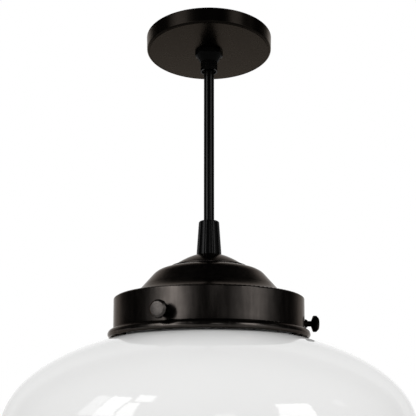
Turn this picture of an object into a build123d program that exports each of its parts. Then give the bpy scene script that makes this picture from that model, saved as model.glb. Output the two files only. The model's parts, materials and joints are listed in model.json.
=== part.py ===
from build123d import *
import os
from math import acos, asin, cos, degrees, radians, sin

# Glass pendant light, millimetres. Z = 0 is the ceiling, +Z points up, and the cord hangs on the
# Z axis. The front of the lamp faces -Y.

# Pipe thread that every fitting on the axis is screwed to
pipe_radius = 8.55
pipe_wall = 2.2
pipe_end_chamfer = 0.5
thread_gap = 0.1
pass_gap = 0.3

# Cord
cord_radius = 4.7
cord_drop = 141.8
lead_radius = 1.2
lead_offset = 2.3
jacket_inset = 3.0

# Ceiling canopy, a shallow spun cup, a little wider at the ceiling
canopy_radius = 57.15
canopy_flare = 0.3
canopy_height = 12.7
canopy_wall = 1.2
canopy_edge = 1.6
canopy_groove_width = 0.8
canopy_groove_depth = 0.4

# Crossbar screwed to the outlet box, a little shorter than the canopy is wide
bar_end_gap = 3.95
bar_width = 20.0
bar_thickness = 2.0
bar_corner = 5.0
box_slot_end_gap = 5.25
box_slot_length = 14.0
box_slot_radius = 2.3
bar_ground_place = 24.0

# Hex locknuts
nut_wall = 2.55
nut_height = 3.2
nut_chamfer = 0.6

# Upper cord grip: octagonal nut, cone and fluted neck
grip_nut_radius = 12.9
grip_nut_height = 3.8
grip_nut_chamfer = 1.0
grip_nut_turn = 5.8
grip_cone_height = 5.8
grip_neck_height = 8.8
grip_thread_depth = 7.0
grip_spigot_length = 2.4
grip_wall = 1.05
neck_flutes = 12
neck_flute_depth = 0.35

# Soft ring in the mouth of the upper grip, on which the pendant swings
pivot_depth = 2.8
ring_play = 0.7
ring_wall = 1.1
ring_height = 2.0

# Soft collets that squeeze the cord
upper_collet_wall = 1.2
upper_collet_length = 5.2
lower_collet_wall = 2.2
lower_collet_length = 14.0
collet_slit = 0.8

# Lower cord grip, a fluted cone
cone_base_radius = 11.3
cone_top_radius = 9.2
cone_height = 31.2
cone_top_rounding = 1.6
cone_flutes = 10
cone_flute_depth = 0.7
cone_mouth_length = 6.3
cone_thread_depth = 10.0

# Shade fitter, spun steel: hub, small dome, bell and drum. The drum is as wide as the lip of
# the glass needs, and the radii of the dome and the bell are shares of the drum's radius.
fitter_wall = 1.0
hub_overhang = 0.7
dome_share = 0.4074
dome_drop = 12.4
dome_curve_share = 0.783
dome_bead = 0.9
bell_drop = 27.9
shoulder_curve_share = 0.4549
shoulder_turn_share = 0.1948
shoulder_start_slope = 6.0
shoulder_end_slope = 20.0
flank_slope = 49.0
drum_gap = 7.0
drum_height = 34.6
drum_corner = 1.2
rim_bead = 0.7
rim_bead_inset = 1.9
flange_reach = 4.8
flange_roll = 2.5
flange_curve = 4.4
flange_cove = 0.8

# Thumb screws that hold the glass by its neck
screw_count = 3
screw_first_angle = 5.8
screw_axis_height = 14.6
screw_radius = 2.5
screw_nut_radius = 5.1
screw_nut_tip_wall = 0.8
screw_nut_thickness = 4.2
head_standoff = 7.8
head_radius = 7.35
head_back_length = 2.2
head_rim_length = 2.4
head_front_length = 1.8
head_face_radius = 5.6
head_face_rise = 0.5
screw_tip_chamfer = 0.6
head_shoulder = 0.4
head_grooves = 14
head_groove_radius = 0.9
head_groove_depth = 0.45

# Opal glass shade, 14 in. nominal, with a lipped neck for a 6 in. fitter
glass_radius = 176.0
glass_upper_depth = 87.5
glass_lower_depth = 94.5
glass_wall = 3.5
flange_gap = 1.8
neck_radius = 73.0
lip_reach = 3.2
lip_height = 5.4
lip_rounding = 1.6
neck_fillet = 3.0
screw_rest_gap = 0.2

# Fixings inside the fitter
washer_radius = 11.5
washer_thickness = 1.2
bracket_thickness = 1.5
bracket_reach = 18.0
bracket_width = 24.0
bracket_leg_width = 14.0
bracket_height = 25.0
bracket_screw_inset = 6.2
nipple_tail = 1.2

# Porcelain socket for a medium screw bulb
socket_bore = 14.0
socket_wall = 5.5
socket_step = 2.0
socket_crown_height = 14.0
socket_height = 44.0
socket_floor = 10.0
socket_mouth_flare = 1.5
socket_rounding = 1.5
shell_wall = 0.5
shell_length = 27.0
shell_inset = 3.0
contact_radius = 4.0
contact_thickness = 0.8
contact_spring = 2.2

# Small machine screws
small_screw_radius = 1.75
small_screw_head = 3.2
small_head_height = 2.0
small_screw_length = 8.0
terminal_place = 11.5
slot_width = 0.8
slot_depth = 0.9

# Bulb
bulb_radius = 30.0
bulb_length = 108.0
bulb_wall = 1.0
bulb_cap_length = 24.0
bulb_cap_wall = 0.5
bulb_neck_inset = 6.0
bulb_shoulder = 2.0
bulb_insulator_radius = 9.0
bulb_tip_radius = 3.5
bulb_tip_height = 1.2
bulb_insulator_height = 2.4
bulb_gap = 0.1

# Wires and connectors above the canopy
stub_end = -7.0
lead_rise = 5.5
lead_slant = 2.0
lead_bend = 3.5
lead_start = 4.0
lead_fall = 6.0
connector_place = 13.0
connector_bottom = 11.0
connector_height = 16.0
connector_radius = 5.8
connector_top_radius = 3.8
connector_bore_depth = 4.0
connector_wing = 1.6

# Radii that follow from the sizes above
pipe_bore = pipe_radius - pipe_wall
nut_corner = (pipe_radius + nut_wall) / cos(radians(30))
bar_length = 2 * (canopy_radius - canopy_wall - bar_end_gap)
box_screw_spacing = bar_length - 2 * box_slot_end_gap - box_slot_length
ring_bore = cord_radius + ring_play
ring_radius = ring_bore + ring_wall
grip_mouth_radius = ring_radius + pass_gap
grip_neck_radius = grip_mouth_radius + grip_wall
upper_collet_radius = cord_radius + upper_collet_wall
lower_collet_radius = cord_radius + lower_collet_wall
grip_spigot_radius = upper_collet_radius + grip_wall
hub_radius = cone_base_radius + hub_overhang
lip_radius = neck_radius + lip_reach
drum_radius = lip_radius + drum_gap + fitter_wall
dome_radius = dome_share * drum_radius
flange_radius = drum_radius + flange_reach
socket_radius = socket_bore + socket_wall
socket_crown_radius = socket_radius - socket_step
shell_radius = socket_bore - thread_gap
bulb_cap_radius = shell_radius - shell_wall - pass_gap
bulb_neck_radius = bulb_cap_radius - bulb_cap_wall - thread_gap
bracket_screw_place = bracket_reach - bracket_screw_inset
bracket_toe = bracket_screw_place - small_screw_head - thread_gap

# Levels, worked out from the ceiling down
canopy_floor = -canopy_height
bar_bottom = -bar_thickness
grip_nut_bottom = canopy_floor - grip_nut_height
grip_cone_bottom = grip_nut_bottom - grip_cone_height
grip_mouth = grip_cone_bottom - grip_neck_height
grip_thread_end = canopy_floor - grip_thread_depth
spigot_top = grip_cone_bottom + grip_spigot_length
upper_collet_bottom = spigot_top - upper_collet_length
pivot = grip_mouth + pivot_depth
cone_top = grip_mouth - cord_drop
cone_base = cone_top - cone_height
drum_top = cone_base - dome_drop - bell_drop
flange_bottom = drum_top - drum_height
washer_top = cone_base - fitter_wall
fitter_nut_top = washer_top - washer_thickness
bracket_top = fitter_nut_top - nut_height
bracket_nut_top = bracket_top - bracket_thickness
nipple_end = bracket_nut_top - nut_height - nipple_tail
socket_top = bracket_top - bracket_height
socket_mouth = socket_top - socket_height
socket_bore_top = socket_top - socket_floor
contact_bottom = socket_bore_top - contact_thickness - contact_spring
bulb_tip = contact_bottom - bulb_gap
screw_axis = flange_bottom + screw_axis_height
lip_bottom = screw_axis + screw_radius + screw_rest_gap
glass_shoulder = glass_upper_depth * (1 - ((flange_radius - flange_roll) / glass_radius) ** 2) ** 0.5
equator = flange_bottom - flange_gap - glass_shoulder
jacket_end = nipple_end + jacket_inset
screw_angles = [screw_first_angle + 360 / screw_count * i for i in range(screw_count)]

finished = []


def finish(builder, label):
    """Names a finished piece and keeps it for export."""
    builder.part.label = label
    finished.append(builder.part)


def ring_section(inner, outer, bottom, top):
    """Half section of a plain ring about the Z axis."""
    with BuildSketch(Plane.XZ) as section:
        with Locations(((inner + outer) / 2, (bottom + top) / 2)):
            Rectangle(outer - inner, top - bottom)
    return section.sketch


def outline_section(points):
    """Half section bounded by straight lines, as (radius, height) points."""
    with BuildSketch(Plane.XZ) as section:
        with BuildLine():
            Polyline(*points, close=True)
        make_face()
    return section.sketch


def fluted_outline(height, radius, flutes, depth):
    """Round outline with shallow flutes, at the given height."""
    flute_radius = radius * sin(radians(180 / flutes)) * 0.62
    with BuildSketch(Plane.XY.offset(height)) as outline:
        Circle(radius)
        with PolarLocations(radius + flute_radius - depth, flutes):
            Circle(flute_radius, mode=Mode.SUBTRACT)
    return outline.sketch


# Crossbar
with BuildPart() as crossbar:
    with BuildSketch(Plane.XY.offset(bar_bottom)):
        RectangleRounded(bar_length, bar_width, bar_corner)
        Circle(pipe_radius + thread_gap, mode=Mode.SUBTRACT)
        with Locations((-box_screw_spacing / 2, 0), (box_screw_spacing / 2, 0)):
            SlotOverall(box_slot_length, 2 * box_slot_radius, mode=Mode.SUBTRACT)
        with Locations((bar_ground_place, 0)):
            Circle(small_screw_radius + thread_gap, mode=Mode.SUBTRACT)
    extrude(amount=bar_thickness)
finish(crossbar, "crossbar")


def screw_slot(centre, depth_way):
    """Solid that cuts a driver slot across a screw head, into depth_way from the head's face."""
    with BuildPart() as cutter:
        with BuildSketch(Plane(origin=centre, z_dir=depth_way)):
            Rectangle(3 * small_screw_head, slot_width)
        extrude(amount=slot_depth)
    return cutter.part


def machine_screw(seat, way, length):
    """Pan head screw whose head seats at the point seat; the shank runs along way."""
    with BuildPart() as screw:
        with BuildSketch(Plane(origin=seat, z_dir=way)):
            Circle(small_screw_radius)
        extrude(amount=length)
        with BuildSketch(Plane(origin=seat, z_dir=way)):
            Circle(small_screw_head)
        extrude(amount=-small_head_height)
        head_face = screw.faces().sort_by(Axis(seat, way))[0]
        fillet(head_face.edges(), small_head_height * 0.35)
    outer = Vector(*seat) - Vector(*way) * small_head_height
    return screw.part - screw_slot(outer, way)


with BuildPart() as ground_screw:
    add(machine_screw((bar_ground_place, 0, bar_bottom), (0, 0, 1), bar_thickness + 3.0))
finish(ground_screw, "ground_screw")


def locknut(top):
    """Hex locknut below the given level, both faces chamfered."""
    with BuildPart() as nut:
        with BuildSketch(Plane.XY.offset(top - nut_height)):
            RegularPolygon(nut_corner, 6)
            Circle(pipe_radius + thread_gap, mode=Mode.SUBTRACT)
        extrude(amount=nut_height)
        with BuildSketch(Plane.XZ) as barrel:
            with BuildLine():
                Polyline(
                    (0, top - nut_height),
                    (nut_corner - nut_chamfer * 2, top - nut_height),
                    (nut_corner, top - nut_height + nut_chamfer),
                    (nut_corner, top - nut_chamfer),
                    (nut_corner - nut_chamfer * 2, top),
                    (0, top),
                    close=True,
                )
            make_face()
        revolve(axis=Axis.Z, mode=Mode.INTERSECT)
    return nut


def nipple(top, bottom):
    """Threaded pipe between two levels."""
    with BuildPart() as pipe:
        revolve(ring_section(pipe_bore, pipe_radius, bottom, top), axis=Axis.Z)
        chamfer(pipe.edges().filter_by(GeomType.CIRCLE).group_by(SortBy.RADIUS)[-1], pipe_end_chamfer)
    return pipe


ceiling_nipple = nipple(nipple_tail, grip_thread_end + pipe_end_chamfer)
finish(ceiling_nipple, "ceiling_nipple")

crossbar_locknut = locknut(bar_bottom)
finish(crossbar_locknut, "crossbar_locknut")

# Canopy
with BuildPart() as canopy:
    with BuildSketch(Plane.XZ) as cup:
        with BuildLine() as cup_outline:
            wall_top = (canopy_radius + canopy_flare, 0)
            wall_foot = (canopy_radius, canopy_floor)
            inner_foot = (canopy_radius - canopy_wall, canopy_floor + canopy_wall)
            inner_top = (canopy_radius + canopy_flare - canopy_wall, 0)
            hole = pipe_radius + pass_gap
            Polyline(
                wall_top,
                wall_foot,
                (hole, canopy_floor),
                (hole, canopy_floor + canopy_wall),
                inner_foot,
                inner_top,
                close=True,
            )
        make_face()
        fillet(cup.vertices().sort_by_distance(wall_foot)[0], canopy_edge)
        fillet(cup.vertices().sort_by_distance(inner_foot)[0], canopy_edge - canopy_wall)
    revolve(axis=Axis.Z)
    groove_outer = canopy_radius - canopy_edge
    groove_inner = groove_outer - canopy_groove_width
    groove = ring_section(groove_inner, groove_outer, canopy_floor, canopy_floor + canopy_groove_depth)
    revolve(groove, axis=Axis.Z, mode=Mode.SUBTRACT)
finish(canopy, "canopy")

# Upper cord grip
with BuildPart() as upper_grip_body:
    with BuildSketch(Plane.XY.offset(grip_nut_bottom)):
        RegularPolygon(grip_nut_radius, 8, rotation=grip_nut_turn)
    extrude(amount=grip_nut_height)
    chamfer_drop = grip_nut_bottom + grip_nut_chamfer
    turned = outline_section(
        [
            (0, canopy_floor),
            (grip_nut_radius, canopy_floor),
            (grip_nut_radius, chamfer_drop),
            (grip_nut_radius - 1.6 * grip_nut_chamfer, grip_nut_bottom),
            (0, grip_nut_bottom),
        ]
    )
    revolve(turned, axis=Axis.Z, mode=Mode.INTERSECT)
    cone_start = grip_nut_radius * cos(radians(22.5)) - grip_nut_chamfer * 0.5
    cone = outline_section(
        [
            (0, grip_nut_bottom),
            (cone_start, grip_nut_bottom),
            (grip_neck_radius, grip_cone_bottom),
            (0, grip_cone_bottom),
        ]
    )
    revolve(cone, axis=Axis.Z)
    revolve(
        ring_section(0, pipe_radius + thread_gap, grip_thread_end, canopy_floor),
        axis=Axis.Z,
        mode=Mode.SUBTRACT,
    )
    revolve(
        ring_section(0, grip_spigot_radius + thread_gap, grip_cone_bottom, grip_thread_end),
        axis=Axis.Z,
        mode=Mode.SUBTRACT,
    )
finish(upper_grip_body, "upper_grip_body")

with BuildPart() as upper_grip_cap:
    extrude(
        fluted_outline(grip_mouth, grip_neck_radius, neck_flutes, neck_flute_depth),
        amount=grip_neck_height,
    )
    revolve(ring_section(0, grip_spigot_radius, grip_cone_bottom, spigot_top), axis=Axis.Z)
    revolve(
        ring_section(0, upper_collet_radius + thread_gap, upper_collet_bottom, spigot_top),
        axis=Axis.Z,
        mode=Mode.SUBTRACT,
    )
    revolve(
        ring_section(0, grip_mouth_radius, grip_mouth, upper_collet_bottom),
        axis=Axis.Z,
        mode=Mode.SUBTRACT,
    )
finish(upper_grip_cap, "upper_grip_cap")


def collet(inner, outer, bottom, top):
    """Split sleeve, open along one side."""
    with BuildPart() as sleeve:
        revolve(ring_section(inner, outer, bottom, top), axis=Axis.Z)
        with Locations((outer / 2, 0, (bottom + top) / 2)):
            Box(outer, collet_slit, top - bottom, mode=Mode.SUBTRACT)
    return sleeve


upper_grip_collet = collet(cord_radius + pass_gap, upper_collet_radius, upper_collet_bottom, spigot_top)
finish(upper_grip_collet, "upper_grip_collet")

# Ring on which the pendant swings, a slice of a ball centred on the pivot
with BuildPart() as cord_ring:
    with Locations((0, 0, pivot)):
        Sphere(ring_radius)
        Cylinder(ring_radius, ring_height, mode=Mode.INTERSECT)
        Cylinder(ring_bore, ring_height, mode=Mode.SUBTRACT)
finish(cord_ring, "cord_ring")

# Cord: a short fixed end in the upper grip, and the hanging length with a ball end at the pivot
with BuildPart() as cord_head:
    head_end = pivot + cord_radius + pass_gap
    with BuildSketch(Plane.XY.offset(head_end)):
        Circle(cord_radius)
    extrude(amount=stub_end - head_end)
finish(cord_head, "cord_head")

with BuildPart() as cord:
    with BuildSketch(Plane.XY.offset(jacket_end)):
        Circle(cord_radius)
    extrude(amount=pivot - jacket_end)
    with Locations((0, 0, pivot)):
        Sphere(cord_radius)
finish(cord, "cord")


def lead(label, route, bend):
    """Insulated wire along a route of straight runs joined by arcs."""
    with BuildPart() as wire:
        with BuildLine() as path:
            FilletPolyline(*route, radius=bend)
        with BuildSketch(Plane(origin=path.line @ 0, z_dir=path.line % 0)):
            Circle(lead_radius)
        sweep(path=path.line)
    finish(wire, label)


# Leads and connectors in the outlet box
upper_leads = {"line_lead_upper": 210, "neutral_lead_upper": 330, "ground_lead_upper": 90}
for label, angle in upper_leads.items():
    way = (cos(radians(angle)), sin(radians(angle)))
    inner_x, inner_y = lead_offset * way[0], lead_offset * way[1]
    outer_x, outer_y = connector_place * way[0], connector_place * way[1]
    upper_route = [
        (inner_x, inner_y, stub_end),
        (inner_x, inner_y, lead_rise),
        (outer_x, outer_y, lead_rise + lead_slant),
        (outer_x, outer_y, connector_bottom + connector_bore_depth - pass_gap),
    ]
    lead(label, upper_route, lead_bend)

with BuildPart() as wire_connectors:
    connector_top = connector_bottom + connector_height
    with BuildPart(mode=Mode.PRIVATE) as connector:
        connector_shape = outline_section(
            [
                (0, connector_bottom),
                (connector_radius, connector_bottom),
                (connector_radius, connector_bottom + connector_height * 0.25),
                (connector_top_radius, connector_top - 1.5),
                (connector_top_radius - 1.5, connector_top),
                (0, connector_top),
            ]
        )
        revolve(connector_shape, axis=Axis.Z)
        with Locations((0, 0, connector_bottom + connector_height * 0.25)):
            Box(
                2 * (connector_radius + connector_wing),
                2.0,
                connector_height * 0.5,
            )
        with Locations((0, 0, connector_bottom)):
            Cylinder(
                lead_radius + pass_gap,
                connector_bore_depth,
                align=(Align.CENTER, Align.CENTER, Align.MIN),
                mode=Mode.SUBTRACT,
            )
    for angle in upper_leads.values():
        with PolarLocations(connector_place, 1, start_angle=angle):
            add(connector.part)
finish(wire_connectors, "wire_connectors")

# Lower cord grip: fluted cone with a rounded top
with BuildPart() as lower_grip:
    loft(
        [
            fluted_outline(cone_base, cone_base_radius, cone_flutes, cone_flute_depth).face(),
            fluted_outline(cone_top, cone_top_radius, cone_flutes, cone_flute_depth).face(),
        ]
    )
    with BuildSketch(Plane.XZ) as envelope:
        with BuildLine():
            Polyline(
                (0, cone_base),
                (cone_base_radius, cone_base),
                (cone_top_radius, cone_top),
                (0, cone_top),
                close=True,
            )
        make_face()
        fillet(envelope.vertices().sort_by_distance((cone_top_radius, cone_top))[0], cone_top_rounding)
    revolve(axis=Axis.Z, mode=Mode.INTERSECT)
    thread_top = cone_base + cone_thread_depth
    collet_top = cone_top - cone_mouth_length
    revolve(
        ring_section(0, pipe_radius + thread_gap, cone_base, thread_top),
        axis=Axis.Z,
        mode=Mode.SUBTRACT,
    )
    revolve(
        ring_section(0, lower_collet_radius + thread_gap, thread_top, collet_top),
        axis=Axis.Z,
        mode=Mode.SUBTRACT,
    )
    revolve(
        ring_section(0, cord_radius + thread_gap, collet_top, cone_top),
        axis=Axis.Z,
        mode=Mode.SUBTRACT,
    )
finish(lower_grip, "lower_grip")

lower_grip_collet = collet(
    cord_radius + thread_gap,
    lower_collet_radius,
    collet_top - pass_gap - lower_collet_length,
    collet_top - pass_gap,
)
finish(lower_grip_collet, "lower_grip_collet")

fitter_nipple = nipple(thread_top - pipe_end_chamfer, nipple_end)
finish(fitter_nipple, "fitter_nipple")

# Shade fitter: one spun sheet, drawn on its outer face from the hub down to the rolled flange
with BuildPart() as shade_fitter:
    with BuildSketch(Plane.XZ) as sheet:
        with BuildLine() as sheet_line:
            hub_edge = (hub_radius, cone_base)
            dome_foot = (dome_radius, cone_base - dome_drop)
            hub_face = Line((pipe_radius + pass_gap, cone_base), hub_edge)
            dome = RadiusArc(hub_edge, dome_foot, dome_curve_share * drum_radius)
            slope = radians(-shoulder_start_slope)
            shoulder = JernArc(
                dome_foot,
                (cos(slope), sin(slope)),
                shoulder_curve_share * drum_radius,
                shoulder_start_slope - shoulder_end_slope,
            )
            turn = JernArc(
                shoulder @ 1,
                shoulder % 1,
                shoulder_turn_share * drum_radius,
                shoulder_end_slope - flank_slope,
            )
            # The flank and the cove below it end level with the top of the drum
            cove_end = drum_radius - drum_corner - rim_bead_inset + rim_bead
            reach = cove_end - (turn @ 1).X
            fall = (turn @ 1).Y - drum_top
            lean = radians(flank_slope)
            cove_radius = (reach * sin(lean) - fall * cos(lean)) / (1 - cos(lean))
            flank_length = (fall - cove_radius * (1 - cos(lean))) / sin(lean)
            flank = Line(turn @ 1, turn @ 1 + (turn % 1) * flank_length)
            cove = JernArc(flank @ 1, flank % 1, cove_radius, flank_slope)
            rim = Line(cove @ 1, (drum_radius - drum_corner, drum_top))
            corner = JernArc(rim @ 1, (1, 0), drum_corner, -90)
            # The rim swells out from the wall through a tight cove and rolls in under itself
            swell = flange_cove + flange_curve
            swell_turn = acos(1 - flange_reach / swell)
            wall_end = flange_bottom + flange_roll + swell * sin(swell_turn)
            wall = Line(corner @ 1, (drum_radius, wall_end))
            foot = JernArc(wall @ 1, (0, -1), flange_cove, degrees(swell_turn))
            brow = JernArc(foot @ 1, foot % 1, flange_curve, -degrees(swell_turn))
            JernArc(brow @ 1, (0, -1), flange_roll, -90)
            offset(amount=fitter_wall, side=Side.RIGHT)
        make_face()
        with Locations((drum_radius - drum_corner - rim_bead_inset / 2, drum_top)):
            Circle(rim_bead)
        with Locations((dome_radius - dome_bead / 2, cone_base - dome_drop + dome_bead)):
            Circle(dome_bead)
    revolve(axis=Axis.Z)
    for angle in screw_angles:
        with BuildSketch(Plane(origin=(0, 0, screw_axis), z_dir=(cos(radians(angle)), sin(radians(angle)), 0))):
            Circle(screw_radius + pass_gap)
        extrude(amount=drum_radius + 2, mode=Mode.SUBTRACT)
finish(shade_fitter, "shade_fitter")

with BuildPart() as fitter_washer:
    washer = ring_section(pipe_radius + pass_gap, washer_radius, fitter_nut_top, washer_top)
    revolve(washer, axis=Axis.Z)
finish(fitter_washer, "fitter_washer")

fitter_locknut = locknut(fitter_nut_top)
finish(fitter_locknut, "fitter_locknut")

bracket_locknut = locknut(bracket_nut_top)
finish(bracket_locknut, "bracket_locknut")

# Socket bracket: a folded strap, its toes turned in over the socket
with BuildPart() as socket_bracket:
    with BuildSketch(Plane.XZ) as strap:
        with BuildLine() as strap_line:
            bend = bracket_thickness
            FilletPolyline(
                (bracket_toe, socket_top),
                (bracket_reach, socket_top),
                (bracket_reach, bracket_top),
                (-bracket_reach, bracket_top),
                (-bracket_reach, socket_top),
                (-bracket_toe, socket_top),
                radius=1.8 * bend,
            )
            offset(amount=bracket_thickness, side=Side.LEFT)
        make_face()
    extrude(amount=bracket_width / 2, both=True)
    with BuildSketch(Plane.XY.offset(bracket_top)):
        Rectangle(3 * bracket_reach, 2 * bracket_width)
        Rectangle(3 * bracket_reach, bracket_leg_width, mode=Mode.SUBTRACT)
        Circle(bracket_width / 2, mode=Mode.SUBTRACT)
    extrude(amount=-bracket_height, mode=Mode.SUBTRACT)
    with BuildSketch(Plane.XY.offset(bracket_top)):
        Circle(pipe_radius + thread_gap)
    extrude(amount=-bracket_thickness, mode=Mode.SUBTRACT)
    with BuildSketch(Plane.XY.offset(socket_top)):
        with Locations((-bracket_screw_place, 0), (bracket_screw_place, 0)):
            Circle(small_screw_radius + thread_gap)
    extrude(amount=bracket_thickness, mode=Mode.SUBTRACT)
    bracket_ground_level = (bracket_nut_top - nut_height + socket_top) / 2
    with BuildSketch(Plane(origin=(0, 0, bracket_ground_level), z_dir=(-1, 0, 0))):
        Circle(small_screw_radius + thread_gap)
    extrude(amount=bracket_reach + 1, mode=Mode.SUBTRACT)
finish(socket_bracket, "socket_bracket")

with BuildPart() as bracket_screws:
    for side in (-1, 1):
        seat = (side * bracket_screw_place, 0, socket_top + bracket_thickness)
        add(machine_screw(seat, (0, 0, -1), bracket_thickness + small_screw_length))
finish(bracket_screws, "bracket_screws")

with BuildPart() as terminal_screws:
    for side in (-1, 1):
        add(machine_screw((0, side * terminal_place, socket_top), (0, 0, -1), small_screw_length))
finish(terminal_screws, "terminal_screws")

with BuildPart() as bracket_ground_screw:
    add(machine_screw((-bracket_reach, 0, bracket_ground_level), (1, 0, 0), bracket_thickness + 3.0))
finish(bracket_ground_screw, "bracket_ground_screw")

# Porcelain socket
with BuildPart() as socket_body:
    with BuildSketch(Plane.XZ) as socket_shape:
        crown_level = socket_top - socket_crown_height
        with BuildLine():
            Polyline(
                (0, socket_top),
                (socket_crown_radius, socket_top),
                (socket_crown_radius, crown_level),
                (socket_radius, crown_level - socket_step),
                (socket_radius, socket_mouth),
                (socket_bore + socket_mouth_flare, socket_mouth),
                (socket_bore, socket_mouth + 2 * socket_mouth_flare),
                (socket_bore, socket_bore_top),
                (0, socket_bore_top),
                close=True,
            )
        make_face()
        round_corners = socket_shape.vertices().sort_by_distance((socket_crown_radius, socket_top))[0:1]
        round_corners += socket_shape.vertices().sort_by_distance((socket_radius, socket_mouth))[0:1]
        fillet(round_corners, socket_rounding)
    revolve(axis=Axis.Z)
    with BuildSketch(Plane.XY.offset(socket_top)):
        with Locations(
            (-bracket_screw_place, 0),
            (bracket_screw_place, 0),
            (0, -terminal_place),
            (0, terminal_place),
        ):
            Circle(small_screw_radius + thread_gap)
    extrude(amount=-(small_screw_length + pass_gap), mode=Mode.SUBTRACT)
finish(socket_body, "socket_body")

with BuildPart() as socket_shell:
    shell_bottom = socket_mouth + shell_inset
    shell = ring_section(shell_radius - shell_wall, shell_radius, shell_bottom, shell_bottom + shell_length)
    revolve(shell, axis=Axis.Z)
finish(socket_shell, "socket_shell")

with BuildPart() as socket_contact:
    with BuildSketch(Plane.XY.offset(socket_bore_top)):
        Circle(contact_radius)
    extrude(amount=-contact_thickness)
    with BuildSketch(Plane.XY.offset(socket_bore_top)):
        Circle(contact_radius / 2)
    extrude(amount=contact_bottom - socket_bore_top)
    fillet(socket_contact.faces().sort_by(Axis.Z)[0].edges(), contact_radius * 0.3)
finish(socket_contact, "socket_contact")

# Leads inside the fitter
terminal_lead_end = socket_top + small_head_height + thread_gap
lead_drop = nipple_end - lead_start
for label, side in {"line_lead_lower": 1, "neutral_lead_lower": -1}.items():
    lower_route = [
        (0, side * lead_offset, jacket_end),
        (0, side * lead_offset, lead_drop),
        (0, side * terminal_place, lead_drop - lead_fall),
        (0, side * terminal_place, terminal_lead_end),
    ]
    lead(label, lower_route, lead_bend)

ground_route = [
    (-lead_offset, 0, jacket_end),
    (-lead_offset, 0, bracket_ground_level),
    (-(bracket_reach - bracket_thickness - 3.0 - thread_gap), 0, bracket_ground_level),
]
lead("ground_lead_lower", ground_route, lead_bend)

# Thumb screws and the nuts in the wall of the drum
with BuildPart() as thumb_screw_nuts:
    for angle in screw_angles:
        outward = Vector(cos(radians(angle)), sin(radians(angle)), 0)
        base = outward * drum_radius + Vector(0, 0, screw_axis)
        with BuildPart(mode=Mode.PRIVATE) as boss:
            nut_profile = outline_section(
                [
                    (screw_radius + thread_gap, 0),
                    (screw_nut_radius, 0),
                    (screw_radius + thread_gap + screw_nut_tip_wall, screw_nut_thickness),
                    (screw_radius + thread_gap, screw_nut_thickness),
                ]
            )
            revolve(nut_profile, axis=Axis.Z)
        with Locations(Plane(origin=base, z_dir=outward)):
            add(boss.part)
finish(thumb_screw_nuts, "thumb_screw_nuts")

tip_radius_place = neck_radius + pass_gap
head_back = drum_radius + head_standoff
head_rim_start = head_back + head_back_length
head_rim_end = head_rim_start + head_rim_length
head_face_edge = head_rim_end + head_front_length
head_front = head_face_edge + head_face_rise
for number, angle in enumerate(screw_angles, start=1):
    with BuildPart() as thumb_screw:
        with BuildSketch(Plane((0, 0, screw_axis), x_dir=(1, 0, 0), z_dir=(0, -1, 0))):
            with BuildLine():
                Polyline(
                    (tip_radius_place, 0),
                    (tip_radius_place, screw_radius - screw_tip_chamfer),
                    (tip_radius_place + screw_tip_chamfer, screw_radius),
                    (head_back, screw_radius),
                    (head_back + head_shoulder, screw_radius + 2 * head_shoulder),
                    (head_rim_start, head_radius),
                    (head_rim_end, head_radius),
                    (head_face_edge, head_face_radius),
                )
                head_crown = (head_face_radius**2 + head_face_rise**2) / (2 * head_face_rise)
                RadiusArc((head_face_edge, head_face_radius), (head_front, 0), head_crown)
                Line((head_front, 0), (tip_radius_place, 0))
            make_face()
        revolve(axis=Axis((0, 0, screw_axis), (1, 0, 0)))
        knurl_circle = head_radius + head_groove_radius - head_groove_depth
        with BuildSketch(Plane(origin=(head_back, 0, screw_axis), z_dir=(1, 0, 0))):
            with PolarLocations(knurl_circle, head_grooves):
                Circle(head_groove_radius)
        extrude(amount=head_front - head_back, mode=Mode.SUBTRACT)
    thumb_screw.part = thumb_screw.part.rotate(Axis.Z, angle)
    finish(thumb_screw, f"thumb_screw_{number}")

# Opal glass shade
with BuildPart() as glass_shade:
    with BuildSketch(Plane.XZ) as glass:
        lip_top = lip_bottom + lip_height
        neck_bore = neck_radius - glass_wall
        inner_radius = glass_radius - glass_wall
        inner_upper = glass_upper_depth - glass_wall
        inner_lower = glass_lower_depth - glass_wall
        outer_share = (1 - (neck_radius / glass_radius) ** 2) ** 0.5
        inner_share = (1 - (neck_bore / inner_radius) ** 2) ** 0.5
        outer_neck = (neck_radius, equator + glass_upper_depth * outer_share)
        inner_neck = (neck_bore, equator + inner_upper * inner_share)
        outer_turn = degrees(asin(outer_share))
        inner_turn = degrees(asin(inner_share))
        with BuildLine():
            Polyline(
                outer_neck,
                (neck_radius, lip_bottom),
                (lip_radius, lip_bottom),
                (lip_radius, lip_top),
                (neck_bore, lip_top),
                inner_neck,
            )
            EllipticalCenterArc((0, equator), glass_radius, glass_upper_depth, 0, arc_size=outer_turn)
            EllipticalCenterArc((0, equator), glass_radius, glass_lower_depth, 270, arc_size=90)
            EllipticalCenterArc((0, equator), inner_radius, inner_upper, 0, arc_size=inner_turn)
            EllipticalCenterArc((0, equator), inner_radius, inner_lower, 270, arc_size=90)
            Line((0, equator - glass_lower_depth), (0, equator - inner_lower))
        make_face()
        fillet(glass.vertices().sort_by_distance(outer_neck)[0], neck_fillet)
        for lip_corner in ((lip_radius, lip_bottom), (lip_radius, lip_top), (neck_bore, lip_top)):
            fillet(glass.vertices().sort_by_distance(lip_corner)[0], lip_rounding)
    revolve(axis=Axis.Z)
finish(glass_shade, "glass_shade")

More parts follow.
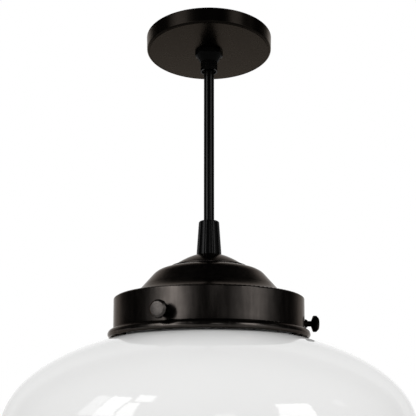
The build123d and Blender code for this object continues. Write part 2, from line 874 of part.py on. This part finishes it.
# Bulb
bulb_cap_top = bulb_tip - bulb_tip_height - bulb_insulator_height
bulb_cap_bottom = bulb_cap_top - bulb_cap_length
bulb_bottom = bulb_tip - bulb_length
bulb_middle = bulb_bottom + bulb_radius
with BuildPart() as bulb_glass:
    with BuildSketch(Plane.XZ) as bulb_shape:
        with BuildLine():
            neck_end = bulb_cap_bottom + bulb_neck_inset
            thin = bulb_wall
            Line((bulb_neck_radius, neck_end), (bulb_neck_radius, bulb_cap_bottom - bulb_shoulder))
            Spline(
                (bulb_neck_radius, bulb_cap_bottom - bulb_shoulder),
                (bulb_radius, bulb_middle),
                tangents=((0, -1), (0, -1)),
            )
            CenterArc((0, bulb_middle), bulb_radius, 270, 90)
            Line((0, bulb_bottom), (0, bulb_bottom + thin))
            CenterArc((0, bulb_middle), bulb_radius - thin, 270, 90)
            Spline(
                (bulb_radius - thin, bulb_middle),
                (bulb_neck_radius - thin, bulb_cap_bottom - bulb_shoulder),
                tangents=((0, 1), (0, 1)),
            )
            Line((bulb_neck_radius - thin, bulb_cap_bottom - bulb_shoulder), (bulb_neck_radius - thin, neck_end))
            Line((bulb_neck_radius - thin, neck_end), (bulb_neck_radius, neck_end))
        make_face()
    revolve(axis=Axis.Z)
finish(bulb_glass, "bulb_glass")

with BuildPart() as bulb_cap:
    cap_profile = outline_section(
        [
            (bulb_cap_radius, bulb_cap_bottom),
            (bulb_cap_radius, bulb_cap_top + 1.5),
            (bulb_insulator_radius, bulb_cap_top),
            (bulb_insulator_radius - bulb_cap_wall, bulb_cap_top - bulb_cap_wall),
            (bulb_cap_radius - bulb_cap_wall, bulb_cap_top - 2 * bulb_cap_wall),
            (bulb_cap_radius - bulb_cap_wall, bulb_cap_bottom),
        ]
    )
    revolve(cap_profile, axis=Axis.Z)
finish(bulb_cap, "bulb_cap")

# Black insulator in the end of the cap, and the tip contact
with BuildPart() as bulb_insulator:
    insulator_profile = outline_section(
        [
            (0, bulb_cap_top + bulb_insulator_height),
            (bulb_tip_radius + 1.0, bulb_cap_top + bulb_insulator_height),
            (bulb_insulator_radius - 0.2, bulb_cap_top + 0.2),
            (bulb_insulator_radius - 0.2, bulb_cap_top),
            (0, bulb_cap_top),
        ]
    )
    revolve(insulator_profile, axis=Axis.Z)
finish(bulb_insulator, "bulb_insulator")

with BuildPart() as bulb_contact:
    with BuildSketch(Plane.XY.offset(bulb_cap_top + bulb_insulator_height)):
        Circle(bulb_tip_radius)
    extrude(amount=bulb_tip_height)
    fillet(bulb_contact.faces().sort_by(Axis.Z)[-1].edges(), bulb_tip_height * 0.6)
finish(bulb_contact, "bulb_contact")

os.makedirs("parts", exist_ok=True)
for piece in finished:
    export_step(piece, f"parts/{piece.label}.step")
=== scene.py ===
import json
import math

import bmesh
import bpy
from mathutils import Matrix, Quaternion, Vector


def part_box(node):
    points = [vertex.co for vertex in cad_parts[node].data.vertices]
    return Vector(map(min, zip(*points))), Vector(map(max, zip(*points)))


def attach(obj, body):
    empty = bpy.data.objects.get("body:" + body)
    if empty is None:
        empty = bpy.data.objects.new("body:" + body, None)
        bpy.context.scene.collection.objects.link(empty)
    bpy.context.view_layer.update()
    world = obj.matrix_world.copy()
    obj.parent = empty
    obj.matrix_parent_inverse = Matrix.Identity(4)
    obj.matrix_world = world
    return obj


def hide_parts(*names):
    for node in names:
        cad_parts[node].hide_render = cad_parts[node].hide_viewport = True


# Glass pendant light, in metres. Z = 0 is the ceiling, +Z points up and the front faces -Y.
# The CAD nodes carry the true shapes and each gets a procedural finish. Two are drawn again: the
# cord, as a curve that can be laid out anew, and the wire connectors, the front two a little lower.

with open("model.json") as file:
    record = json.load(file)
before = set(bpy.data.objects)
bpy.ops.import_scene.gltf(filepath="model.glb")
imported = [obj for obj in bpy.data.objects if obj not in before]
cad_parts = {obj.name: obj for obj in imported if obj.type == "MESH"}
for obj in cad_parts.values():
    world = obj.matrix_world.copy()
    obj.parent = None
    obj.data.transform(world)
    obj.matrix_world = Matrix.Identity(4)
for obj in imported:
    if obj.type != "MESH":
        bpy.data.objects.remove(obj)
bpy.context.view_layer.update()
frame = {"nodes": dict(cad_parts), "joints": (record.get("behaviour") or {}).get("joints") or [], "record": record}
nodes = frame["nodes"]

CORD_DIAMETER = 0.0094
CORD_STRAIGHT_END = 0.056
SCREW_FACE_REACH = 0.0970
SCREW_FACE_EDGE = 0.0003

# Near-black moulded nylon of the cord grips
GRIP_DARK = (0.0010, 0.0010, 0.0010)
GRIP_LIGHT = (0.0020, 0.0020, 0.0019)
GRIP_GRAIN = 1400.0
GRIP_DEPTH = 0.000004


# Node helpers
def new_material(name):
    """An empty material with one Principled shader, returned with its node tree."""
    material = bpy.data.materials.new(name)
    material.use_nodes = True
    tree = material.node_tree
    tree.nodes.clear()
    shader = tree.nodes.new("ShaderNodeBsdfPrincipled")
    output = tree.nodes.new("ShaderNodeOutputMaterial")
    tree.links.new(shader.outputs["BSDF"], output.inputs["Surface"])
    return material, tree, shader


def place(tree):
    """Object coordinates, which are the row frame's own, in metres."""
    return tree.nodes.new("ShaderNodeTexCoord").outputs["Object"]


def noise(tree, vector, scale, detail=4.0, roughness=0.55, distortion=0.0):
    texture = tree.nodes.new("ShaderNodeTexNoise")
    texture.inputs["Scale"].default_value = scale
    texture.inputs["Detail"].default_value = detail
    texture.inputs["Roughness"].default_value = roughness
    texture.inputs["Distortion"].default_value = distortion
    tree.links.new(vector, texture.inputs["Vector"])
    return texture.outputs["Fac"]


def stretched(tree, z_scale):
    """Object coordinates scaled along Z, so that a noise on them is drawn out upright."""
    mapping = tree.nodes.new("ShaderNodeMapping")
    mapping.inputs["Scale"].default_value = (1.0, 1.0, z_scale)
    tree.links.new(place(tree), mapping.inputs["Vector"])
    return mapping.outputs["Vector"]


def spread(tree, value, low, high, start=0.3, end=0.7):
    """Maps a value from the range start to end onto the range low to high."""
    remap = tree.nodes.new("ShaderNodeMapRange")
    remap.inputs["From Min"].default_value = start
    remap.inputs["From Max"].default_value = end
    remap.inputs["To Min"].default_value = low
    remap.inputs["To Max"].default_value = high
    tree.links.new(value, remap.inputs["Value"])
    return remap.outputs["Result"]


def ramp(tree, value, stops):
    """Colour ramp: stops are (place, (r, g, b))."""
    colours = tree.nodes.new("ShaderNodeValToRGB")
    elements = colours.color_ramp.elements
    for index, (where, colour) in enumerate(stops):
        element = elements[index] if index < 2 else elements.new(where)
        element.position = where
        element.color = (*colour, 1.0)
    tree.links.new(value, colours.inputs["Fac"])
    return colours.outputs["Color"]


def bump(tree, shader, height, distance):
    node = tree.nodes.new("ShaderNodeBump")
    node.inputs["Distance"].default_value = distance
    node.inputs["Strength"].default_value = 1.0
    tree.links.new(height, node.inputs["Height"])
    tree.links.new(node.outputs["Normal"], shader.inputs["Normal"])


def math_node(tree, operation, first, second):
    node = tree.nodes.new("ShaderNodeMath")
    node.operation = operation
    for index, value in enumerate((first, second)):
        if isinstance(value, float):
            node.inputs[index].default_value = value
        else:
            tree.links.new(value, node.inputs[index])
    return node.outputs["Value"]


def painted_crevice_shade(tree, colour, reach):
    """Painted shade: the colour, darkened in corners, gaps and undercuts narrower than about the reach, where
    shade falls.
    """
    shade = tree.nodes.new("ShaderNodeAmbientOcclusion")
    shade.samples = 8
    shade.inputs["Distance"].default_value = reach
    tree.links.new(colour, shade.inputs["Color"])
    return shade.outputs["Color"]


def turned(tree):
    """Distance from the axis, and coordinates that change with it and with the height only."""
    separate = tree.nodes.new("ShaderNodeSeparateXYZ")
    tree.links.new(place(tree), separate.inputs["Vector"])
    x, y = separate.outputs["X"], separate.outputs["Y"]
    x_squared = math_node(tree, "MULTIPLY", x, x)
    y_squared = math_node(tree, "MULTIPLY", y, y)
    radius = math_node(tree, "POWER", math_node(tree, "ADD", x_squared, y_squared), 0.5)
    join = tree.nodes.new("ShaderNodeCombineXYZ")
    tree.links.new(radius, join.inputs["X"])
    tree.links.new(separate.outputs["Z"], join.inputs["Z"])
    return radius, join.outputs["Vector"]


# Finishes
def plain_finish(name, dark, light, rough, grain, metallic=0.0, depth=0.00004, specular=0.5):
    """Mottled finish: two close colours, uneven gloss and a fine grain."""
    material, tree, shader = new_material(name)
    where = place(tree)
    colour = ramp(tree, noise(tree, where, grain * 0.35), [(0.3, dark), (0.7, light)])
    tree.links.new(colour, shader.inputs["Base Color"])
    gloss = spread(tree, noise(tree, where, grain * 0.8), rough * 0.85, rough * 1.2)
    tree.links.new(gloss, shader.inputs["Roughness"])
    shader.inputs["Metallic"].default_value = metallic
    shader.inputs["Specular IOR Level"].default_value = specular
    bump(tree, shader, noise(tree, where, grain), depth)
    return material


def grip_plastic(name, rough, specular):
    """Black grip plastic, alike in colour but not in gloss."""
    return plain_finish(
        name, GRIP_DARK, GRIP_LIGHT, rough, GRIP_GRAIN, depth=GRIP_DEPTH, specular=specular
    )


def spun_lacquer(name, face, edge, rough, grain):
    """Dark bronze lacquer over spun steel, with faint upright streaks, turning rings and painted shade darkening
    its corners and creases.

    face is what it reflects when seen straight on, and edge dims and warms it at a slant.
    """
    material, tree, shader = new_material(name)
    streaks = noise(tree, stretched(tree, 0.15), grain, detail=3.0)
    blotches = noise(tree, place(tree), grain / 4.0, detail=3.0)
    mottle = spread(tree, math_node(tree, "ADD", streaks, blotches), 0.0, 1.0, 0.8, 1.2)
    shades = [(0.0, [part * 0.80 for part in face]), (1.0, [part * 1.20 for part in face])]
    # Painted shade: the lacquer's colour is darkened in corners, creases and gaps within 5 mm
    colour = painted_crevice_shade(tree, ramp(tree, mottle, shades), 0.005)
    tree.links.new(colour, shader.inputs["Base Color"])
    shader.inputs["Metallic"].default_value = 1.0
    shader.inputs["Specular Tint"].default_value = (*edge, 1.0)
    gloss = spread(tree, streaks, rough * 0.88, rough * 1.14)
    tree.links.new(gloss, shader.inputs["Roughness"])
    bump(tree, shader, noise(tree, turned(tree)[1], 900.0, detail=3.0), 0.000006)
    return material


def opal_glass():
    """White opal glass with a glossy, very slightly uneven blown surface."""
    material, tree, shader = new_material("opal_glass")
    where = place(tree)
    colour = ramp(
        tree,
        noise(tree, where, 9.0, detail=3.0),
        [(0.3, (0.885, 0.885, 0.880)), (0.7, (0.900, 0.900, 0.895))],
    )
    tree.links.new(colour, shader.inputs["Base Color"])
    gloss = spread(tree, noise(tree, where, 25.0), 0.03, 0.05)
    tree.links.new(gloss, shader.inputs["Roughness"])
    shader.inputs["IOR"].default_value = 1.5
    bump(tree, shader, noise(tree, where, 7.0, detail=1.0), 0.0003)
    return material


def screw_metal():
    """Blackened turned metal, rubbed down to pale grey with scratches on the heads' faces."""
    material, tree, shader = new_material("blackened_metal")
    where = place(tree)
    black = ramp(
        tree,
        noise(tree, where, 420.0, detail=6.0, distortion=0.6),
        [(0.35, (0.0012, 0.0011, 0.0010)), (0.65, (0.0040, 0.0037, 0.0034))],
    )
    scratches = noise(tree, where, 900.0, detail=8.0, roughness=0.7, distortion=2.5)
    rubbed = ramp(tree, scratches, [(0.36, (0.016, 0.0145, 0.0138)), (0.64, (0.090, 0.082, 0.077))])
    face = spread(
        tree,
        turned(tree)[0],
        0.0,
        1.0,
        SCREW_FACE_REACH - SCREW_FACE_EDGE,
        SCREW_FACE_REACH + SCREW_FACE_EDGE,
    )
    mix = tree.nodes.new("ShaderNodeMix")
    mix.data_type = "RGBA"
    tree.links.new(face, mix.inputs["Factor"])
    tree.links.new(black, mix.inputs["A"])
    tree.links.new(rubbed, mix.inputs["B"])
    tree.links.new(mix.outputs["Result"], shader.inputs["Base Color"])
    gloss = spread(tree, scratches, 0.24, 0.40)
    tree.links.new(gloss, shader.inputs["Roughness"])
    shader.inputs["Metallic"].default_value = 1.0
    shader.inputs["Specular Tint"].default_value = (0.40, 0.37, 0.35, 1.0)
    bump(tree, shader, scratches, 0.00002)
    return material


def smooth_rubber():
    """Smooth round cord jacket with faint lengthwise drawing marks."""
    material, tree, shader = new_material("cord_jacket")
    marks = noise(tree, stretched(tree, 0.04), 900.0, detail=3.0)
    colour = ramp(tree, marks, [(0.3, (0.0006, 0.0006, 0.0005)), (0.7, (0.0012, 0.0012, 0.0010))])
    tree.links.new(colour, shader.inputs["Base Color"])
    gloss = spread(tree, noise(tree, place(tree), 300.0), 0.14, 0.18)
    tree.links.new(gloss, shader.inputs["Roughness"])
    shader.inputs["Specular IOR Level"].default_value = 0.09
    bump(tree, shader, marks, 0.000004)
    return material


FINISHES = {
    "bronze_black": spun_lacquer(
        "spun_bronze", (0.0470, 0.0415, 0.0380), (0.67, 0.63, 0.60), 0.20, 260.0
    ),
    "screw_black": screw_metal(),
    "cord_jacket": smooth_rubber(),
    "opal_glass": opal_glass(),
    "grip_black": grip_plastic("grip_plastic", 0.20, 0.09),
    "collet_black": plain_finish(
        "collet_rubber", (0.010, 0.010, 0.010), (0.020, 0.020, 0.020), 0.7, 900.0
    ),
    "plated_steel": plain_finish(
        "plated_steel", (0.46, 0.455, 0.43), (0.62, 0.61, 0.58), 0.3, 700.0, metallic=1.0
    ),
    "ground_green": plain_finish(
        "ground_green", (0.012, 0.13, 0.035), (0.03, 0.22, 0.07), 0.3, 700.0, metallic=0.6
    ),
    "brass": plain_finish(
        "brass", (0.58, 0.42, 0.16), (0.74, 0.56, 0.24), 0.28, 600.0, metallic=1.0
    ),
    "porcelain": plain_finish(
        "porcelain", (0.76, 0.74, 0.68), (0.82, 0.80, 0.75), 0.12, 120.0, depth=0.00006
    ),
    "cap_aluminium": plain_finish(
        "cap_aluminium", (0.60, 0.60, 0.61), (0.74, 0.74, 0.75), 0.3, 500.0, metallic=1.0
    ),
    "bulb_frosted": plain_finish(
        "bulb_frosted", (0.80, 0.80, 0.78), (0.84, 0.84, 0.82), 0.5, 300.0
    ),
    "bulb_black": plain_finish(
        "bulb_black", (0.008, 0.008, 0.008), (0.016, 0.016, 0.016), 0.2, 400.0
    ),
    "wire_black": plain_finish(
        "wire_black", (0.008, 0.008, 0.008), (0.016, 0.016, 0.016), 0.4, 600.0
    ),
    "wire_white": plain_finish(
        "wire_white", (0.70, 0.70, 0.67), (0.78, 0.78, 0.75), 0.4, 600.0
    ),
    "wire_green": plain_finish(
        "wire_green", (0.008, 0.11, 0.03), (0.014, 0.16, 0.045), 0.4, 600.0
    ),
    "connector_orange": plain_finish(
        "connector_orange", (0.62, 0.13, 0.012), (0.72, 0.18, 0.02), 0.28, 500.0
    ),
}

for subpart in frame["record"]["subparts"]:
    cad_object = nodes[subpart["node"]]
    cad_object.data.materials.clear()
    cad_object.data.materials.append(FINISHES[subpart["material_slot"]])

# The canopy has the same lacquer, a little duller, in a darker copy that reflects less than the fitter: painted
# shade for the weaker light the canopy catches
nodes["canopy"].data.materials[0] = spun_lacquer(
    "canopy_bronze_painted_shade", (0.0063, 0.0053, 0.0045), (0.84, 0.78, 0.725), 0.26, 60.0
)

# The upper grip's neck is shinier than its nut
for grip_node, gleam in (("upper_grip_body", 0.03), ("upper_grip_cap", 0.20)):
    nodes[grip_node].data.materials[0] = grip_plastic(grip_node, 0.12, gleam)

# Cord: a straight run of fixed length, held taut by the weight of the lamp
pivot = frame["joints"][0]["pos_m"][2]
cord_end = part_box("cord")[0].z
cord_curve = bpy.data.curves.new("pendant_cord", "CURVE")
cord_curve.dimensions = "3D"
cord_curve.bevel_depth = CORD_DIAMETER / 2
cord_curve.bevel_resolution = 12
cord_curve.resolution_u = 16
cord_curve.use_fill_caps = True
route = cord_curve.splines.new("NURBS")
route_heights = [pivot, pivot - CORD_STRAIGHT_END, cord_end + CORD_STRAIGHT_END, cord_end]
route.points.add(len(route_heights) - 1)
for point, height in zip(route.points, route_heights):
    point.co = (0.0, 0.0, height, 1.0)
route.order_u = 3
route.use_endpoint_u = True
cord = bpy.data.objects.new("pendant_cord", cord_curve)
bpy.context.scene.collection.objects.link(cord)
cord_curve.materials.append(FINISHES["cord_jacket"])
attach(cord, "pendant")
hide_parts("cord")

# Wire connectors: the front two are 3.4 mm lower than in the CAD, or they show over the canopy
CONNECTOR_PLACE = 0.013
CONNECTOR_BOTTOM = 0.011
CONNECTOR_RADIUS = 0.0058
CONNECTOR_TOP_RADIUS = 0.0038
CONNECTOR_CHAMFER = 0.0015
CONNECTOR_BORE_RADIUS = 0.0015
CONNECTOR_BORE_DEPTH = 0.0040
CONNECTOR_SIDES = 64
WING_REACH = (0.0040, 0.0074)
WING_THICKNESS = 0.0020
REAR_HEIGHT = 0.0160
FRONT_HEIGHT = 0.0126
CONNECTOR_HEIGHTS = {210.0: FRONT_HEIGHT, 330.0: FRONT_HEIGHT, 90.0: REAR_HEIGHT}


def add_connector(shape, angle, height):
    """Adds a twist-on connector with its bore below and two wings, at an angle round the axis."""
    spot = Matrix.Rotation(math.radians(angle), 4, "Z") @ Matrix.Translation(
        (CONNECTOR_PLACE, 0.0, CONNECTOR_BOTTOM)
    )
    section = (
        (CONNECTOR_BORE_RADIUS, CONNECTOR_BORE_DEPTH),
        (CONNECTOR_BORE_RADIUS, 0.0),
        (CONNECTOR_RADIUS, 0.0),
        (CONNECTOR_RADIUS, height * 0.25),
        (CONNECTOR_TOP_RADIUS, height - CONNECTOR_CHAMFER),
        (CONNECTOR_TOP_RADIUS - CONNECTOR_CHAMFER, height),
    )
    turns = [2.0 * math.pi * step / CONNECTOR_SIDES for step in range(CONNECTOR_SIDES)]
    rings = [
        [
            shape.verts.new(spot @ Vector((radius * math.cos(a), radius * math.sin(a), level)))
            for a in turns
        ]
        for radius, level in section
    ]
    for first, second in zip(rings, rings[1:]):
        for step in range(CONNECTOR_SIDES):
            after = (step + 1) % CONNECTOR_SIDES
            shape.faces.new((first[step], first[after], second[after], second[step]))
    shape.faces.new(rings[0])
    shape.faces.new(rings[-1])
    start, end = WING_REACH
    for side in (0.0, math.pi):
        wing = Matrix.Rotation(side, 4, "Z") @ Matrix.Translation(
            ((start + end) / 2, 0.0, height * 0.25)
        )
        extent = Matrix.Diagonal((end - start, WING_THICKNESS, height * 0.5, 1.0))
        bmesh.ops.create_cube(shape, size=1.0, matrix=spot @ wing @ extent)


shape = bmesh.new()
for lead_angle, connector_height in CONNECTOR_HEIGHTS.items():
    add_connector(shape, lead_angle, connector_height)
bmesh.ops.recalc_face_normals(shape, faces=shape.faces)
connector_mesh = bpy.data.meshes.new("twist_connectors")
shape.to_mesh(connector_mesh)
shape.free()
connectors = bpy.data.objects.new("twist_connectors", connector_mesh)
bpy.context.scene.collection.objects.link(connectors)
connectors.data.materials.append(FINISHES["connector_orange"])
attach(connectors, "ceiling_mount")
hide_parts("wire_connectors")

# Camera, as the photograph was taken: sizes and the view's centre are in its pixels
IMAGE_SIDE = 416
FOCAL_LENGTH = 770.4
VIEW_CENTRE = (209.0, 318.8)
UPWARD_TILT = 7.31
SENSOR_WIDTH = 36.0
camera_data = bpy.data.cameras.new("camera")
camera_data.sensor_width = SENSOR_WIDTH
camera_data.lens = FOCAL_LENGTH / IMAGE_SIDE * SENSOR_WIDTH
camera_data.shift_x = (IMAGE_SIDE / 2 - VIEW_CENTRE[0]) / IMAGE_SIDE
camera_data.shift_y = (VIEW_CENTRE[1] - IMAGE_SIDE / 2) / IMAGE_SIDE
camera_data.clip_start = 0.01
camera_data.clip_end = 50.0
camera = bpy.data.objects.new("camera", camera_data)
camera.location = (0.0, -0.6770, -0.3479)
camera.rotation_euler = (math.radians(90.0 + UPWARD_TILT), 0.0, 0.0)
bpy.context.scene.collection.objects.link(camera)
bpy.context.scene.camera = camera

# World: white for the camera, soft even light on the lamp, and for gloss a dim room
SKY_STRENGTH = 1.28
GLOW_FADES = (0.24, 0.36)
SKY_STOPS = ((0.0, 1.0), (0.5, 1.0), (0.75, 0.85), (1.0, 0.60))
WALL_STOPS = (
    (0.0, 0.03),
    (0.5, 0.01),
    (0.73, 0.04),
    (0.80, 0.25),
    (0.845, 0.60),
    (0.93, 0.66),
    (0.98, 1.0),
)
# Each glow: its middle in degrees (the front is 0), its fade to the left and right, its brightness
GLOWS = (
    (-42.0, 13.0, 10.5, 4.0),
    (56.0, 15.0, 12.5, 1.75),
    (25.0, 20.0, 50.0, 0.06),
)
world = bpy.data.worlds.new("studio")
bpy.context.scene.world = world
world.use_nodes = True
tree = world.node_tree
tree.nodes.clear()
output = tree.nodes.new("ShaderNodeOutputWorld")
rays = tree.nodes.new("ShaderNodeLightPath")


def background(strength, colour=None):
    node = tree.nodes.new("ShaderNodeBackground")
    if isinstance(strength, float):
        node.inputs["Strength"].default_value = strength
    else:
        tree.links.new(strength, node.inputs["Strength"])
    node.inputs["Color"].default_value = (1.0, 1.0, 1.0, 1.0)
    if colour is not None:
        tree.links.new(colour, node.inputs["Color"])
    return node.outputs["Background"]


def blend_worlds(first, second, share):
    node = tree.nodes.new("ShaderNodeMixShader")
    tree.links.new(share, node.inputs["Fac"])
    tree.links.new(first, node.inputs[1])
    tree.links.new(second, node.inputs[2])
    return node.outputs["Shader"]


def levels(value, stops):
    """Brightness by place along a value: stops are (place, level)."""
    return ramp(tree, value, [(where, (level, level, level)) for where, level in stops])


def soft_glow(azimuth, middle, left_fade, right_fade, brightness):
    """Soft light round one direction, a bell that fades by its own width to each side."""
    aside = math_node(tree, "SUBTRACT", azimuth, math.radians(middle))
    left = math_node(tree, "MINIMUM", aside, 0.0)
    right = math_node(tree, "MAXIMUM", aside, 0.0)
    fades = math_node(
        tree,
        "ADD",
        math_node(tree, "DIVIDE", left, math.radians(left_fade)),
        math_node(tree, "DIVIDE", right, math.radians(right_fade)),
    )
    bell = math_node(tree, "POWER", math.exp(-0.5), math_node(tree, "MULTIPLY", fades, fades))
    return math_node(tree, "MULTIPLY", bell, brightness)


direction = tree.nodes.new("ShaderNodeSeparateXYZ")
world_place = tree.nodes.new("ShaderNodeTexCoord").outputs["Generated"]
tree.links.new(world_place, direction.inputs["Vector"])

# The room as gloss shows it: dark in front, lighter towards the white wall behind the lamp
walls = levels(spread(tree, direction.outputs["Y"], 0.0, 1.0, -1.0, 1.0), WALL_STOPS)
# Near eye height the light of the windows fades softly to both sides
azimuth = math_node(
    tree,
    "ARCTAN2",
    direction.outputs["X"],
    math_node(tree, "MULTIPLY", direction.outputs["Y"], -1.0),
)
glow = 0.0
for glow_setting in GLOWS:
    glow = math_node(tree, "ADD", glow, soft_glow(azimuth, *glow_setting))
near_eye = spread(tree, direction.outputs["Z"], 1.0, 0.0, *GLOW_FADES)
room = math_node(tree, "MAXIMUM", walls, math_node(tree, "MULTIPLY", glow, near_eye))
sky = levels(spread(tree, direction.outputs["Z"], 0.0, 1.0, -1.0, 1.0), SKY_STOPS)
seen = math_node(
    tree, "MAXIMUM", rays.outputs["Is Camera Ray"], rays.outputs["Is Transmission Ray"]
)
mixed = blend_worlds(background(SKY_STRENGTH, sky), background(room), rays.outputs["Is Glossy Ray"])
mixed = blend_worlds(mixed, background(1.0), seen)
tree.links.new(mixed, output.inputs["Surface"])

# Windows of the room, the lamps of this scene, which show in gloss only
WINDOW_DISTANCE = 1.5


def window(name, left, right, bottom, top, radiance, lean=0.0):
    """Bright upright pane, between two azimuths in degrees (the front is 0) and two heights."""
    half = math.radians(right - left) / 2
    middle = math.radians(left + right) / 2
    away = Vector((math.sin(middle), -math.cos(middle), 0.0))
    lamp = bpy.data.lights.new(name, "AREA")
    lamp.shape = "RECTANGLE"
    lamp.size = 2 * WINDOW_DISTANCE * math.sin(half)
    lamp.size_y = top - bottom
    lamp.energy = radiance * math.pi * lamp.size * lamp.size_y
    holder = bpy.data.objects.new(name, lamp)
    holder.location = away * WINDOW_DISTANCE * math.cos(half) + Vector(
        (0.0, 0.0, (top + bottom) / 2)
    )
    holder.rotation_mode = "QUATERNION"
    tilt = Quaternion(away, math.radians(lean))
    holder.rotation_quaternion = tilt @ away.to_track_quat("Z", "Y")
    holder.visible_camera = False
    holder.visible_diffuse = False
    bpy.context.scene.collection.objects.link(holder)


window("window_far_left", -72.5, -63.0, 0.2, 1.20, 2.2, 8.0)
window("window_left", -62.5, -50.0, 0.2, 1.30, 4.5, 5.0)
window("window_left_inner", -48.5, -39.5, 0.2, 0.97, 4.5, 4.0)
window("window_left_high", -48.0, -36.5, 1.09, 1.67, 4.2, 6.0)
window("window_right_far", 76.5, 82.0, 0.5, 0.80, 1.0)
window("window_right", 37.0, 57.5, 0.2, 0.87, 4.5, -8.0)
window("window_low", 3.0, 13.4, 0.1, 0.42, 2.0)

# Floor
FLOOR_HALF_SIDE = 8.0
FLOOR_HEIGHT = -1.25
FLOOR_CORNERS = ((-1, -1), (1, -1), (1, 1), (-1, 1))
floor_mesh = bpy.data.meshes.new("floor")
floor_mesh.from_pydata(
    [(x * FLOOR_HALF_SIDE, y * FLOOR_HALF_SIDE, FLOOR_HEIGHT) for x, y in FLOOR_CORNERS],
    [],
    [(0, 1, 2, 3)],
)
floor = bpy.data.objects.new("floor", floor_mesh)
bpy.context.scene.collection.objects.link(floor)
floor_material, floor_tree, floor_shader = new_material("floor")
floor_shader.inputs["Base Color"].default_value = (0.65, 0.65, 0.65, 1.0)
floor_shader.inputs["Roughness"].default_value = 0.9
floor_mesh.materials.append(floor_material)

bpy.context.scene.view_settings.view_transform = "Standard"
